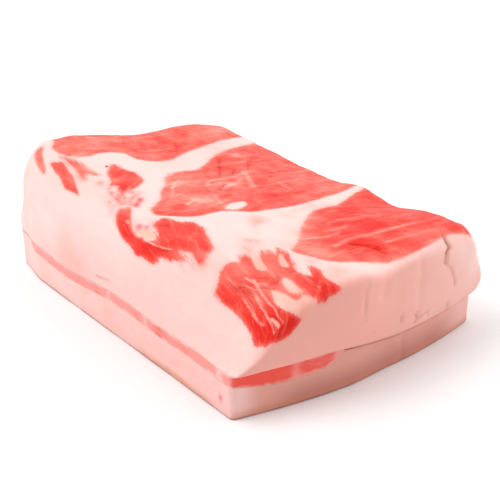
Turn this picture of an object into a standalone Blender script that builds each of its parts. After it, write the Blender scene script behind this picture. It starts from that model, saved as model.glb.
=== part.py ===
"""Pork back fat: a slab cut square, with the muscle left on it.

Two layers of fat lie on each other. The upper one is thick, with rounded shoulders, and
stands a little proud of the lower one at the end. The lower one is an even plate with a
flat underside. A thin wedge of lean lies between them along one long side, and pads of
lean are let into the top of the upper layer.

The upper layer starts as a plain draft block with square edges. The pads are drawn on that
block too, and one function then bends block and pads together into the real form, so a pad
follows the surface wherever it lies.

Lengths are in millimetres and become metres when a mesh is made. +X runs along the slab to
its end face, +Z is up, and the origin is the middle of the underside.
"""

import bpy
import bmesh
import numpy as np

MM = 0.001

# ---------------------------------------------------------------- driving dimensions

LENGTH = 190.0          # corner to corner of the long side
WIDTH = 135.0           # corner to corner of the end face
HALF_LENGTH = LENGTH / 2
HALF_WIDTH = WIDTH / 2

# How far each side of the plan bows outwards between its corners
END_BOW = 9.2
END_SKEW = 2.0          # the near half of the end face stands out this much more
NEAR_BOW = 4.2          # the near side is straight, and set out by this past its left end
FAR_BOW = 3.0
FAR_CORNER_OUT = 1.8    # the far side still stands out this much where it meets the end face
LEFT_BOW = 5.0

# Heights above the underside. Each swell is (centre x, centre y, reach x, reach y, rise).
TOP_HEIGHT = 51.0
TOP_FALL = 0.055        # how much lower the top lies for each millimetre towards +Y
TOP_SWELLS = (
    (-102, -52, 66, 46, 14.2),
    (-98, 40, 34, 34, 8.8),
    (-98, -10, 22, 17, 1.8),
    (5, 78, 48, 32, -4.0),
    (18, 72, 12, 20, 2.4),
    (47, 72, 12, 24, -2.6),
    (88, 58, 28, 25, 2.5),
    (112, 4, 22, 13, -4.0),
    (110, -80, 40, 36, -30.0),
)
SEAM_HEIGHT = 14.6
SEAM_RISE = 4.8         # how much higher the seam lies along the near side, over the wedge
SEAM_SWELLS = (
    (14, -72, 30, 40, 2.0),
    (-38, -72, 22, 40, -1.8),
    (68, -72, 14, 30, 1.1),
)

# Walls of the upper layer
END_PROUD = 1.1         # how far its foot stands past the lower layer
END_BELLY = 2.3         # and how much more it swells half way up
FAR_PROUD = 0.6
FAR_BELLY = 4.0         # low down: the far wall swells most at a third of its height
LEFT_BELLY = 4.4        # high up: the left wall hangs over its foot
CORNER_LEAN = 20.0      # how far the near wall leans back at the front corner

# The thin wedge of lean between the layers
STREAK_THICKNESS = 4.6
STREAK_END_EXTRA = 2.6  # how much thicker it is inside the end face
STREAK_START = -82.0
STREAK_REACH = 48.0     # how far it runs in from the near side
STREAK_INNER = STREAK_REACH - HALF_WIDTH
STREAK_EDGE = 0.5       # thickness where it ends
STREAK_BLUNT = 3.0      # its inner end is blunt, and thins out over this last distance
STREAK_STEP = 1.0       # the bed it lies in comes up over this distance past its ends

GAP = 0.3               # air between a pad and its bed
SEAM_GAP = 0.4          # air between two layers

# The draft blocks are square-edged. The upper one has this height, whatever it becomes.
DRAFT_HEIGHT = 36.0
LOWER_DRAFT_HEIGHT = 18.0

# Pads of lean. Outlines are drawn on the draft block's skin laid flat: past an edge of the
# top they carry on down the wall. A spine is the line where the pad is deepest.
PADS = {
    "lean_back": {
        "outline": (
            (-104, -46), (-90, -52), (-72, -55), (-61, -52), (-61, -40), (-65, -27), (-58, -17),
            (-53, -9), (-55, 8), (-61, 25), (-64, 42), (-69, 60), (-76, 80), (-106, 78), (-108, 10),
        ),
        "spine": ((-82, -38), (-80, 0), (-86, 60)),
        "depth": 7.0,
    },
    "lean_middle": {
        "outline": (
            (-2, -41), (6, -46), (15, -36), (19, -18), (27, -6), (27, 14), (24, 36), (19, 58),
            (14, 80), (-30, 80), (-70, 80), (-64, 58), (-59, 40), (-47, 20), (-38, 4), (-34, -15),
            (-18, -28),
        ),
        "spine": ((0, -28), (0, 10), (-24, 50)),
        "depth": 8.0,
    },
    "lean_right": {
        "outline": (
            (25, 66), (30, 48), (36, 25), (50, 4), (60, -12), (66, -20), (80, -13), (87, 2),
            (91, 20), (90, 42), (93, 60), (93, 80), (58, 82), (24, 80),
        ),
        "spine": ((66, 0), (62, 30), (58, 62)),
        "depth": 8.0,
    },
    "lean_front": {
        "outline": (
            (62, -80), (63, -62), (61, -48), (55, -34), (65, -25), (78, -25), (90, -27),
            (98, -27), (102, -38), (106, -50), (112, -64), (104, -82), (84, -88),
        ),
        "spine": ((70, -40), (84, -60)),
        "depth": 13.0,
    },
    "lean_hook": {
        "outline": (
            (-3, -57), (3, -54), (8, -60), (13, -61), (16, -56), (14, -48), (20, -41), (30, -40),
            (43, -48), (56, -57), (45, -66), (32, -75), (19, -75), (7, -68),
        ),
        "spine": ((3, -59), (10, -67), (26, -67), (32, -56), (23, -48)),
        "depth": 5.0,
    },
    "lean_island": {
        "outline": ((-49, -37), (-46, -32), (-36, -29), (-25, -33), (-22, -44), (-31, -45)),
        "spine": ((-42, -36), (-28, -38)),
        "depth": 4.5,
    },
    "lean_sliver": {
        "outline": ((-64, -59), (-56, -56), (-43, -58), (-31, -62), (-41, -64), (-55, -62)),
        "spine": ((-58, -59), (-38, -61)),
        "depth": 3.5,
    },
}
OUTLINE_STEPS = 2       # straight pieces between two outline points

# (share of the depth below the top, how far the ring is drawn in towards the spine)
PAD_RINGS = ((-0.6, 0.0), (0.45, 0.08), (0.8, 0.25), (1.0, 0.5))
PAD_CELL = 16.0         # a pad's floor is cut this fine, so that it can bend

FAT_COLOUR = (0.93, 0.67, 0.60)
LOWER_FAT_COLOUR = (0.90, 0.60, 0.53)
LEAN_COLOUR = (0.78, 0.16, 0.12)
STREAK_COLOUR = (0.74, 0.22, 0.17)


# ---------------------------------------------------------------- heights and plan

def smooth(t):
    """Ease from 0 to 1 as t does."""
    t = np.clip(t, 0.0, 1.0)
    return t * t * (3 - 2 * t)


def swells(x, y, rows):
    """Sum of round hills, each falling off as a bell curve."""
    height = np.zeros_like(x)
    for cx, cy, reach_x, reach_y, rise in rows:
        height += rise * np.exp(-((x - cx) / reach_x) ** 2 - ((y - cy) / reach_y) ** 2)
    return height


def top_height(x, y):
    return TOP_HEIGHT - TOP_FALL * y + swells(x, y, TOP_SWELLS)


def seam_height(x, y):
    near = 1 - smooth((y + 28) / 40)
    return SEAM_HEIGHT + SEAM_RISE * near + swells(x, y, SEAM_SWELLS)


def bowed(x, y):
    """Plan of the slab: the straight sides of the draft bow outwards between the corners."""
    along = np.clip(x / HALF_LENGTH, -1, 1)
    across = np.clip(y / HALF_WIDTH, -1, 1)
    end = END_BOW * (1 - across ** 2) + END_SKEW * smooth((0.1 - across) / 0.35)
    left = LEFT_BOW * (1 - across ** 2)
    near = NEAR_BOW * (0.15 + 0.85 * smooth((along + 1) / 0.3))
    far = FAR_BOW * (1 - along ** 2) + FAR_CORNER_OUT * smooth((along - 0.4) / 0.6)
    x = x + np.maximum(along, 0) ** 2 * end - np.maximum(-along, 0) ** 2 * left
    y = y + np.maximum(across, 0) ** 2 * far - np.maximum(-across, 0) ** 2 * near
    return x, y


def rounded(points, height, corner, shoulder, foot):
    """Round a square block. A point moves along the ray from the block's inner box, so that
    the square skin lands on the round one; points inside and outside move with it."""
    x, y, z = points.T
    inner = np.stack([
        np.clip(x, corner - HALF_LENGTH, HALF_LENGTH - corner),
        np.clip(y, corner - HALF_WIDTH, HALF_WIDTH - corner),
        np.clip(z, foot, height - shoulder),
    ], axis=1)
    upright = np.where(z > height - shoulder, shoulder, foot)
    radius = np.stack([corner, corner, upright], axis=1)
    ray = (points - inner) / radius
    length = np.linalg.norm(ray, axis=1, keepdims=True)
    length[length == 0] = 1
    square = np.abs(ray).max(axis=1, keepdims=True)
    return inner + radius * ray * square / length


# ---------------------------------------------------------------- bending the layers

def bend_upper(points):
    """Draft block, and anything drawn in it, to the real upper layer."""
    x, y, z = points.T
    near, far = smooth((-y - 20) / 40), smooth((y - 20) / 40)
    end, left = smooth((x - 50) / 40), smooth((-x - 50) / 40)
    # The near shoulder is broad along the side and tight at the end face.
    shoulder = 4 + 10 * near * (1 - end) + 2 * near * end + far * (1 - end) + 5 * left + 8 * far * end
    corner = 4 + 9 * near * (1 - end) + 2 * near * end + 4 * left + 5 * far * end
    corner = 2 + (corner - 2) * smooth((z / DRAFT_HEIGHT - 0.1) / 0.5)
    foot = np.full(len(points), 2.5)
    round_points = rounded(points, DRAFT_HEIGHT, corner, shoulder, foot)

    along = np.clip(round_points[:, 0] / HALF_LENGTH, -1, 1)
    across = np.clip(round_points[:, 1] / HALF_WIDTH, -1, 1)
    rise = round_points[:, 2] / DRAFT_HEIGHT
    level = np.clip(rise, 0, 1)
    belly = 4 * level * (1 - level)
    low_belly = 6.75 * level * (1 - level) ** 2
    high_belly = smooth((level - 0.3) / 0.35)
    x, y = bowed(round_points[:, 0], round_points[:, 1])
    to_far = 0.6 + 0.4 * smooth(across + 1)
    x = x + (END_PROUD + END_BELLY * belly) * np.maximum(along, 0) ** 3 * to_far
    x = x - LEFT_BELLY * high_belly * np.maximum(-along, 0) ** 3
    y = y + (FAR_PROUD + FAR_BELLY * low_belly) * np.maximum(across, 0) ** 3
    lean = CORNER_LEAN * smooth((along - 0.1) / 0.9) * level ** 0.8
    y = y + lean * np.maximum(-across, 0) ** 2
    foot_height = seam_height(x, y)
    return np.stack([x, y, foot_height + rise * (top_height(x, y) - foot_height)], axis=1)


def streak_thickness(x, y):
    """Thickness of the lean wedge: even along the near side, thicker inside the end face,
    and blunt where it stops inside the slab."""
    depth = np.clip((y + HALF_WIDTH) / STREAK_REACH, 0, 1)
    full = STREAK_THICKNESS + STREAK_END_EXTRA * smooth((x - 66) / 22) * smooth(depth / 0.4)
    start = smooth((x - STREAK_START) / 10)
    return np.maximum(full * start * (1 - depth ** 8), STREAK_EDGE)


def bed_depth(x, y):
    """How far the lower layer sinks to make room for the wedge and the air under it."""
    from_side = np.clip(1 - (y - STREAK_INNER) / STREAK_STEP, 0, 1)
    from_start = np.clip(1 - (STREAK_START - x) / STREAK_STEP, 0, 1)
    return from_side * from_start * (streak_thickness(x, y) + SEAM_GAP)


def lower_plan(points):
    """Plan of the lower layer and of the wedge: the bowed outline with tight corners."""
    flat = points.copy()
    flat[:, 2] = LOWER_DRAFT_HEIGHT / 2
    ones = np.ones(len(points))
    flat = rounded(flat, LOWER_DRAFT_HEIGHT, 2.0 * ones, ones, ones)
    return bowed(flat[:, 0], flat[:, 1])


def bend_lower(points):
    """Draft plate to the real lower layer, hollowed where the wedge of lean lies on it."""
    ones = np.ones(len(points))
    soft = rounded(points, LOWER_DRAFT_HEIGHT, 2.0 * ones, 1.2 * ones, ones)
    x, y = bowed(soft[:, 0], soft[:, 1])
    height = seam_height(x, y) - SEAM_GAP - bed_depth(points[:, 0], points[:, 1])
    return np.stack([x, y, soft[:, 2] / LOWER_DRAFT_HEIGHT * height], axis=1)


def bend_streak(points):
    """Plate of height 1 to the wedge of lean that fills the space left for it."""
    x, y = lower_plan(points)
    thickness = streak_thickness(points[:, 0], points[:, 1])
    top = seam_height(x, y) - SEAM_GAP
    return np.stack([x, y, top - (1 - points[:, 2]) * thickness], axis=1)


# ---------------------------------------------------------------- meshes

CELL = 7.6                      # size of the faces on a block
EDGE_CUTS = (2.5, 7.0, 13.0)    # closer cuts along its edges, from the edge inwards


def stations(half, cell):
    """Cuts across a draft block: close together at its edges, even between them."""
    edge = np.array(EDGE_CUTS)
    inner = half - edge[-1]
    count = int(np.ceil(2 * inner / cell))
    middle = np.linspace(-inner, inner, count + 1)
    return np.concatenate([edge[:-1] - half, middle, half - edge[-2::-1]])


def cut(bm, axis, places):
    """Slice all faces of a mesh by planes across one axis."""
    normal = [0.0, 0.0, 0.0]
    normal[axis] = 1.0
    for place in places:
        point = [0.0, 0.0, 0.0]
        point[axis] = float(place)
        geometry = bm.verts[:] + bm.edges[:] + bm.faces[:]
        bmesh.ops.bisect_plane(bm, geom=geometry, dist=1e-5, plane_co=point, plane_no=normal)


def draft_block(low, high, cuts):
    """A square block between two corners, sliced by the cuts of each axis."""
    bm = bmesh.new()
    bmesh.ops.create_cube(bm, size=1.0)
    for vertex in bm.verts:
        for axis in range(3):
            vertex.co[axis] = high[axis] if vertex.co[axis] > 0 else low[axis]
    for axis in range(3):
        cut(bm, axis, cuts[axis])
    return bm


def bend(bm, function):
    """Move every vertex of a mesh by a function of its place."""
    points = np.array([vertex.co[:] for vertex in bm.verts])
    for vertex, place in zip(bm.verts, function(points)):
        vertex.co = place


def finish(bm, name):
    """Make an object of a mesh drawn in millimetres, with its faces pointing out."""
    bmesh.ops.triangulate(bm, faces=[face for face in bm.faces if len(face.verts) < 5])
    bmesh.ops.recalc_face_normals(bm, faces=bm.faces[:])
    bmesh.ops.scale(bm, vec=(MM, MM, MM), verts=bm.verts[:])
    mesh = bpy.data.meshes.new(name)
    bm.to_mesh(mesh)
    bm.free()
    mesh.shade_smooth()
    mesh.set_sharp_from_angle(angle=np.radians(50))
    item = bpy.data.objects.new(name, mesh)
    bpy.context.scene.collection.objects.link(item)
    return item


def helper(item):
    """Mark an object that only cuts or guides."""
    item.hide_render = True
    item.display_type = "WIRE"
    return item


def boolean(item, operation, other):
    step = item.modifiers.new(other.name, "BOOLEAN")
    step.operation = operation
    step.solver = "EXACT"
    step.object = other


# ---------------------------------------------------------------- pads of lean

def ring_through(points, steps):
    """A smooth closed curve (Catmull-Rom) through the points of an outline."""
    knots = np.array(points, float)
    before, after, far = np.roll(knots, 1, 0), np.roll(knots, -1, 0), np.roll(knots, -2, 0)
    rows = []
    for t in np.arange(steps) / steps:
        rows.append(0.5 * (
            2 * knots + (after - before) * t
            + (2 * before - 5 * knots + 4 * after - far) * t ** 2
            + (3 * knots - before - 3 * after + far) * t ** 3
        ))
    return np.stack(rows, axis=1).reshape(-1, 2)


def nearest_on_line(points, line):
    """For each point, the nearest place on a line of straight pieces."""
    best = np.full(len(points), np.inf)
    place = points.copy()
    line = np.array(line, float)
    for start, end in zip(line[:-1], line[1:]):
        step = end - start
        share = np.clip((points - start) @ step / (step @ step), 0, 1)
        there = start + share[:, None] * step
        distance = np.linalg.norm(points - there, axis=1)
        closer = distance < best
        best[closer] = distance[closer]
        place[closer] = there[closer]
    return place


def grown(ring, amount):
    """Move a closed ring outwards along its own normals."""
    tangent = np.roll(ring, -1, 0) - np.roll(ring, 1, 0)
    normal = np.stack([tangent[:, 1], -tangent[:, 0]], axis=1)
    normal /= np.linalg.norm(normal, axis=1, keepdims=True)
    x, y = ring.T
    area = np.sum(x * np.roll(y, -1) - y * np.roll(x, -1))
    return ring + np.sign(area) * amount * normal


def pad_mesh(pad, grow):
    """A bowl let into the draft block's top: rings of the outline, drawn in as they sink."""
    outline = ring_through(pad["outline"], OUTLINE_STEPS)
    spine = nearest_on_line(outline, pad["spine"])
    bm = bmesh.new()
    rings = []
    for sink, pull in PAD_RINGS:
        ring = grown(outline + pull * (spine - outline), grow)
        lift = grow if sink < 0 else -grow
        level = DRAFT_HEIGHT - sink * pad["depth"] + lift
        rings.append([bm.verts.new((x, y, level)) for x, y in ring])
    count = len(outline)
    for upper, lower in zip(rings[:-1], rings[1:]):
        for i in range(count):
            j = (i + 1) % count
            bm.faces.new((upper[i], upper[j], lower[j], lower[i]))
    bm.faces.new(rings[0])
    bm.faces.new(rings[-1])
    for axis, half in ((0, HALF_LENGTH), (1, HALF_WIDTH)):
        cut(bm, axis, np.arange(-half, half + PAD_CELL, PAD_CELL))
    bmesh.ops.triangulate(bm, faces=bm.faces[:], quad_method="FIXED")
    bend(bm, bend_upper)
    return bm


# ---------------------------------------------------------------- the slab

X_CUTS = stations(HALF_LENGTH, CELL)
Y_CUTS = stations(HALF_WIDTH, CELL)


def upper_block(name):
    low = (-HALF_LENGTH, -HALF_WIDTH, 0)
    high = (HALF_LENGTH, HALF_WIDTH, DRAFT_HEIGHT)
    bm = draft_block(low, high, (X_CUTS, Y_CUTS, (2, 8, 16, 23, 29, 33.5)))
    bend(bm, bend_upper)
    return finish(bm, name)


def upper_layer():
    """The thick layer of fat, with a bed cut into it for each pad, and the pads."""
    fat = upper_block("fat_upper")
    block = helper(upper_block("guide_block"))
    leans = []
    for name, pad in PADS.items():
        bed = helper(finish(pad_mesh(pad, GAP), "cutter_" + name))
        boolean(fat, "DIFFERENCE", bed)
        lean = finish(pad_mesh(pad, 0.0), name)
        boolean(lean, "INTERSECT", block)
        leans.append(lean)
    return fat, leans


def is_base(face):
    """Whether a face lies on the flat underside, inside its rounded rim."""
    x, y, z = face.calc_center_median()
    return z < 1e-4 and abs(x) < HALF_LENGTH - EDGE_CUTS[0] and abs(y) < HALF_WIDTH - EDGE_CUTS[0]


def lower_layer():
    """The even plate of fat below, on one flat face."""
    low = (-HALF_LENGTH, -HALF_WIDTH, 0)
    high = (HALF_LENGTH, HALF_WIDTH, LOWER_DRAFT_HEIGHT)
    x_cuts = (*X_CUTS, STREAK_START - STREAK_STEP, STREAK_START)
    y_cuts = (*Y_CUTS, STREAK_INNER - STREAK_BLUNT, STREAK_INNER, STREAK_INNER + STREAK_STEP)
    bm = draft_block(low, high, (x_cuts, y_cuts, (1.5, 9, 16)))
    bmesh.ops.dissolve_faces(bm, faces=[f for f in bm.faces if is_base(f)], use_verts=True)
    bend(bm, bend_lower)
    return finish(bm, "fat_lower")


def streak():
    """The thin wedge of lean between the layers, flush with the near side and the end."""
    low = (STREAK_START, -HALF_WIDTH, 0)
    high = (HALF_LENGTH, STREAK_INNER, 1)
    bm = draft_block(low, high, (X_CUTS, (*Y_CUTS, STREAK_INNER - STREAK_BLUNT), ()))
    bend(bm, bend_streak)
    return finish(bm, "lean_streak")


def paint(item, name, colour, roughness):
    material = bpy.data.materials.new(name)
    material.use_nodes = True
    shader = material.node_tree.nodes["Principled BSDF"]
    shader.inputs["Base Color"].default_value = (*colour, 1.0)
    shader.inputs["Roughness"].default_value = roughness
    shader.inputs["Metallic"].default_value = 0.0
    item.data.materials.clear()
    item.data.materials.append(material)


def centre_on_base(items):
    """Slide everything so that the middle of the whole outline stands over the origin."""
    bpy.context.view_layer.update()
    graph = bpy.context.evaluated_depsgraph_get()
    rows = []
    for item in items:
        mesh = item.evaluated_get(graph).data
        rows.append(np.array([vertex.co[:] for vertex in mesh.vertices]))
    points = np.concatenate(rows)
    middle = (points.min(axis=0) + points.max(axis=0)) / 2
    for item in bpy.context.scene.objects:
        item.location = (-middle[0], -middle[1], 0)


def main():
    for item in list(bpy.data.objects):
        bpy.data.objects.remove(item)
    fat, leans = upper_layer()
    plate = lower_layer()
    wedge = streak()
    paint(fat, "fat", FAT_COLOUR, 0.45)
    paint(plate, "fat_below", LOWER_FAT_COLOUR, 0.45)
    paint(wedge, "lean_thin", STREAK_COLOUR, 0.4)
    for lean in leans:
        paint(lean, lean.name, LEAN_COLOUR, 0.35)
    centre_on_base([fat, plate, wedge] + leans)


main()
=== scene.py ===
# %% [markdown]
# # A slab of pork back fat
#
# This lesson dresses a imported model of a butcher's slab: a thick layer of fat with pads of
# lean let into its top, a flat plate of fat under it, and a thin wedge of lean between them.
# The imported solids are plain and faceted. Here each becomes a fine surface that is worked
# out with numpy, and the meat's pattern is worked out on the same surface, so that colour
# and relief agree everywhere.

import math

import bpy
import numpy as np
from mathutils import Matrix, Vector


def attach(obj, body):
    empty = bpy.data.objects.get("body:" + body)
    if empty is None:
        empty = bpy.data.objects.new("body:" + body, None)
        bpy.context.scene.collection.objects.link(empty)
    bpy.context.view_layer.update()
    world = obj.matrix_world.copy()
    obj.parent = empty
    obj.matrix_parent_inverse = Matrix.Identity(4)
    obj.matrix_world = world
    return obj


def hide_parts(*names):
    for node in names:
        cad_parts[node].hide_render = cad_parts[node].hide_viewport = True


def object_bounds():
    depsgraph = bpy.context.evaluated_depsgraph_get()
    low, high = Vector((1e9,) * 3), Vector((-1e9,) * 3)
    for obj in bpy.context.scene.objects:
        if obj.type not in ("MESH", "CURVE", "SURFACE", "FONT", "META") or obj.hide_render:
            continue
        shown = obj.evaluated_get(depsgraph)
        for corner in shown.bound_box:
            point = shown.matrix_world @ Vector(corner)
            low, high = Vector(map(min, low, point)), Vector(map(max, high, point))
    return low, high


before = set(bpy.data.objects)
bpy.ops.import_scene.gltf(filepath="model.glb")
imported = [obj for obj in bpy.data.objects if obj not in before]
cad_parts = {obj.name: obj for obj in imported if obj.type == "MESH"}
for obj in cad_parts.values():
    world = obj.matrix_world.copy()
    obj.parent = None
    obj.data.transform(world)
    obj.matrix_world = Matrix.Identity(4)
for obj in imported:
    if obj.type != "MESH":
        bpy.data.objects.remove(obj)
CAD_LOW, CAD_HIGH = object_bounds()
MM = 0.001
print("nodes", sorted(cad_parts))
print("box in mm", [round(v / MM, 1) for v in (*CAD_LOW, *CAD_HIGH)])

# %% [markdown]
# ## The form
#
# The slab could be sculpted, but its form is simple to say in words: a square draft block
# whose sides bow out, whose edges are rounded by different radii, and whose top swells and
# sinks in a few broad hills. So the form is a function: it takes points of the square block
# and moves them to the real surface. The same function made the solids, and here it is fed
# a much finer block. Lengths are millimetres until a mesh is made.

# %% Driving dimensions
LENGTH = 190.0
WIDTH = 135.0
HALF_LENGTH = LENGTH / 2
HALF_WIDTH = WIDTH / 2
END_BOW, END_SKEW, NEAR_BOW, FAR_BOW, LEFT_BOW = 9.2, 2.0, 4.2, 3.0, 5.0
FAR_CORNER_OUT = 1.8

TOP_HEIGHT = 51.0
TOP_FALL = 0.055
# Each swell is (centre x, centre y, reach x, reach y, rise).
TOP_SWELLS = (
    (-102, -52, 66, 46, 14.2),
    (-98, 40, 34, 34, 8.8),
    (-98, -10, 22, 17, 1.8),
    (5, 78, 48, 32, -4.0),
    (18, 72, 12, 20, 2.4),
    (47, 72, 12, 24, -2.6),
    (88, 58, 28, 25, 2.5),
    (112, 4, 22, 13, -4.0),
    (110, -80, 40, 36, -30.0),
)
SEAM_HEIGHT = 14.6
SEAM_RISE = 4.8
SEAM_SWELLS = (
    (14, -72, 30, 40, 2.0),
    (-38, -72, 22, 40, -1.8),
    (68, -72, 14, 30, 1.1),
)
END_PROUD, END_BELLY = 1.1, 2.3
FAR_PROUD, FAR_BELLY = 0.6, 4.0
LEFT_BELLY = 4.4
CORNER_LEAN = 20.0
STREAK_THICKNESS, STREAK_END_EXTRA = 4.6, 2.6
STREAK_START, STREAK_REACH, STREAK_EDGE = -82.0, 48.0, 0.5
DRAFT_HEIGHT, LOWER_DRAFT_HEIGHT = 36.0, 18.0
SEAM_GAP = 0.4
print("draft block", LENGTH, "x", WIDTH, "x", DRAFT_HEIGHT, "mm")


# %% Heights and plan
def smooth(t):
    """Ease from 0 to 1 as t does: 3t^2 - 2t^3."""
    t = np.clip(t, 0.0, 1.0)
    return t * t * (3 - 2 * t)


def swells(x, y, rows):
    """Sum of round hills, each rise * exp(-(dx/reach)^2 - (dy/reach)^2)."""
    height = np.zeros_like(x)
    for cx, cy, reach_x, reach_y, rise in rows:
        height += rise * np.exp(-((x - cx) / reach_x) ** 2 - ((y - cy) / reach_y) ** 2)
    return height


def top_height(x, y):
    """The top: a gentle fall towards +Y, plus its swells."""
    return TOP_HEIGHT - TOP_FALL * y + swells(x, y, TOP_SWELLS)


def seam_height(x, y):
    """Where the two layers meet: level at the far side, a step higher at the near side."""
    near = 1 - smooth((y + 28) / 40)
    return SEAM_HEIGHT + SEAM_RISE * near + swells(x, y, SEAM_SWELLS)


def bowed(x, y):
    """Plan: the end, left and far sides move outwards by their bow times a parabola along
    them, and the near side by an even amount that sets in at its left corner."""
    along = np.clip(x / HALF_LENGTH, -1, 1)
    across = np.clip(y / HALF_WIDTH, -1, 1)
    end = END_BOW * (1 - across ** 2) + END_SKEW * smooth((0.1 - across) / 0.35)
    left = LEFT_BOW * (1 - across ** 2)
    near = NEAR_BOW * (0.15 + 0.85 * smooth((along + 1) / 0.3))
    far = FAR_BOW * (1 - along ** 2) + FAR_CORNER_OUT * smooth((along - 0.4) / 0.6)
    x = x + np.maximum(along, 0) ** 2 * end - np.maximum(-along, 0) ** 2 * left
    y = y + np.maximum(across, 0) ** 2 * far - np.maximum(-across, 0) ** 2 * near
    return x, y


def rounded(points, height, corner, shoulder, foot, crisp=0.0):
    """Round a square block: a point leaves the block's inner box along a ray, and the ray's
    largest part becomes its length, which turns the square skin into a round one. Where crisp
    is 1, the shoulder and the foot keep their square edge."""
    x, y, z = points.T
    inner = np.stack([
        np.clip(x, corner - HALF_LENGTH, HALF_LENGTH - corner),
        np.clip(y, corner - HALF_WIDTH, HALF_WIDTH - corner),
        np.clip(z, foot, height - shoulder),
    ], axis=1)
    upright = np.where(z > height - shoulder, shoulder, foot)
    radius = np.stack([corner, corner, upright], axis=1)
    ray = (points - inner) / radius
    ray[:, 2] *= 1 - crisp
    length = np.linalg.norm(ray, axis=1, keepdims=True)
    length[length == 0] = 1
    square = np.abs(ray).max(axis=1, keepdims=True)
    return inner + radius * ray * square / length


# %% Bend the layers
def bend_upper(points):
    """Draft block to upper layer: round it, bow and belly its walls, lean its front corner
    back, and stretch it between the seam and the top."""
    x, y, z = points.T
    near, far = smooth((-y - 20) / 40), smooth((y - 20) / 40)
    end, left = smooth((x - 50) / 40), smooth((-x - 50) / 40)
    shoulder = 4 + 10 * near * (1 - end) + 2 * near * end + far * (1 - end) + 5 * left + 8 * far * end
    corner = 4 + 9 * near * (1 - end) + 2 * near * end + 4 * left + 5 * far * end
    corner = 2 + (corner - 2) * smooth((z / DRAFT_HEIGHT - 0.1) / 0.5)
    at_seam = smooth((-y - 55) / 10)
    foot = np.maximum(2.5 - 2.4 * at_seam - 1.3 * end * smooth(-y / 20), 0.1)
    crisp = at_seam * (z < DRAFT_HEIGHT / 2)
    soft = rounded(points, DRAFT_HEIGHT, corner, shoulder, foot, crisp)
    along = np.clip(soft[:, 0] / HALF_LENGTH, -1, 1)
    across = np.clip(soft[:, 1] / HALF_WIDTH, -1, 1)
    rise = soft[:, 2] / DRAFT_HEIGHT
    level = np.clip(rise, 0, 1)
    belly = 4 * level * (1 - level)
    low_belly = 6.75 * level * (1 - level) ** 2
    high_belly = smooth((level - 0.3) / 0.35)
    x, y = bowed(soft[:, 0], soft[:, 1])
    to_far = 0.6 + 0.4 * smooth(across + 1)
    x = x + (END_PROUD + END_BELLY * belly) * np.maximum(along, 0) ** 3 * to_far
    x = x - LEFT_BELLY * high_belly * np.maximum(-along, 0) ** 3
    y = y + (FAR_PROUD + FAR_BELLY * low_belly) * np.maximum(across, 0) ** 3
    lean = CORNER_LEAN * smooth((along - 0.1) / 0.9) * level ** 0.8
    y = y + lean * np.maximum(-across, 0) ** 2
    foot_height = seam_height(x, y)
    return np.stack([x, y, foot_height + rise * (top_height(x, y) - foot_height)], axis=1)


def streak_thickness(x, y):
    """Wedge of lean: even along the near side, thicker inside the end face, and blunt where
    it stops inside the slab."""
    depth = np.clip((y + HALF_WIDTH) / STREAK_REACH, 0, 1)
    full = STREAK_THICKNESS + STREAK_END_EXTRA * smooth((x - 66) / 22) * smooth(depth / 0.4)
    start = smooth((x - STREAK_START) / 10)
    return np.maximum(full * start * (1 - depth ** 8), STREAK_EDGE)


def bend_lower(points):
    """Draft plate to lower layer: tight corners, the bowed plan, and the seam as its top."""
    ones = np.ones(len(points))
    x, y, z = points.T
    at_seam = np.maximum(smooth((-y - 55) / 10), smooth((-y - 10) / 12) * smooth((x - 60) / 20))
    crisp = at_seam * (z > LOWER_DRAFT_HEIGHT / 2)
    soft = rounded(points, LOWER_DRAFT_HEIGHT, 2.0 * ones, 1.2 - 1.1 * at_seam, ones, crisp)
    x, y = bowed(soft[:, 0], soft[:, 1])
    wedge = streak_thickness(points[:, 0], points[:, 1])
    inside = smooth((STREAK_REACH - HALF_WIDTH + 2 - points[:, 1]) / 2)
    inside = inside * smooth((points[:, 0] - STREAK_START + 2) / 2)
    height = seam_height(x, y) - SEAM_GAP - inside * (wedge - 0.3)
    return np.stack([x, y, soft[:, 2] / LOWER_DRAFT_HEIGHT * height], axis=1)


def bend_streak(points):
    """Plate of height 1 to the wedge, a hair thicker than its space so that no air shows."""
    ones = np.ones(len(points))
    flat = points.copy()
    flat[:, 2] = LOWER_DRAFT_HEIGHT / 2
    flat = rounded(flat, LOWER_DRAFT_HEIGHT, 2.0 * ones, ones, ones)
    x, y = bowed(flat[:, 0], flat[:, 1])
    thickness = streak_thickness(points[:, 0], points[:, 1])
    top = seam_height(x, y) + 0.3
    return np.stack([x, y, top - (1 - points[:, 2]) * (thickness + SEAM_GAP + 0.3)], axis=1)


# %% [markdown]
# ## A fine block to bend
#
# The block's skin is a closed shell of small squares. Its points are all the places of a
# three-dimensional lattice that lie on the outside, numbered once, so neighbouring faces
# share them and the shell has no seams.

# %% The skin of a block
def block_skin(xs, ys, zs):
    """Points and outward quads of the outside of the lattice xs * ys * zs."""
    shape = (len(xs), len(ys), len(zs))
    outside = np.ones(shape, bool)
    outside[1:-1, 1:-1, 1:-1] = False
    number = np.full(shape, -1)
    number[outside] = np.arange(outside.sum())
    grid = np.meshgrid(xs, ys, zs, indexing="ij")
    points = np.stack([axis[outside] for axis in grid], axis=1)
    quads = []
    for axis in range(3):
        for side in (0, -1):
            sheet = np.take(number, side, axis=axis)
            ring = np.stack([sheet[:-1, :-1], sheet[1:, :-1], sheet[1:, 1:], sheet[:-1, 1:]], axis=-1)
            flip = (side == 0) != (axis == 1)
            quads.append((ring[..., ::-1] if flip else ring).reshape(-1, 4))
    return points, np.concatenate(quads)


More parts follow.
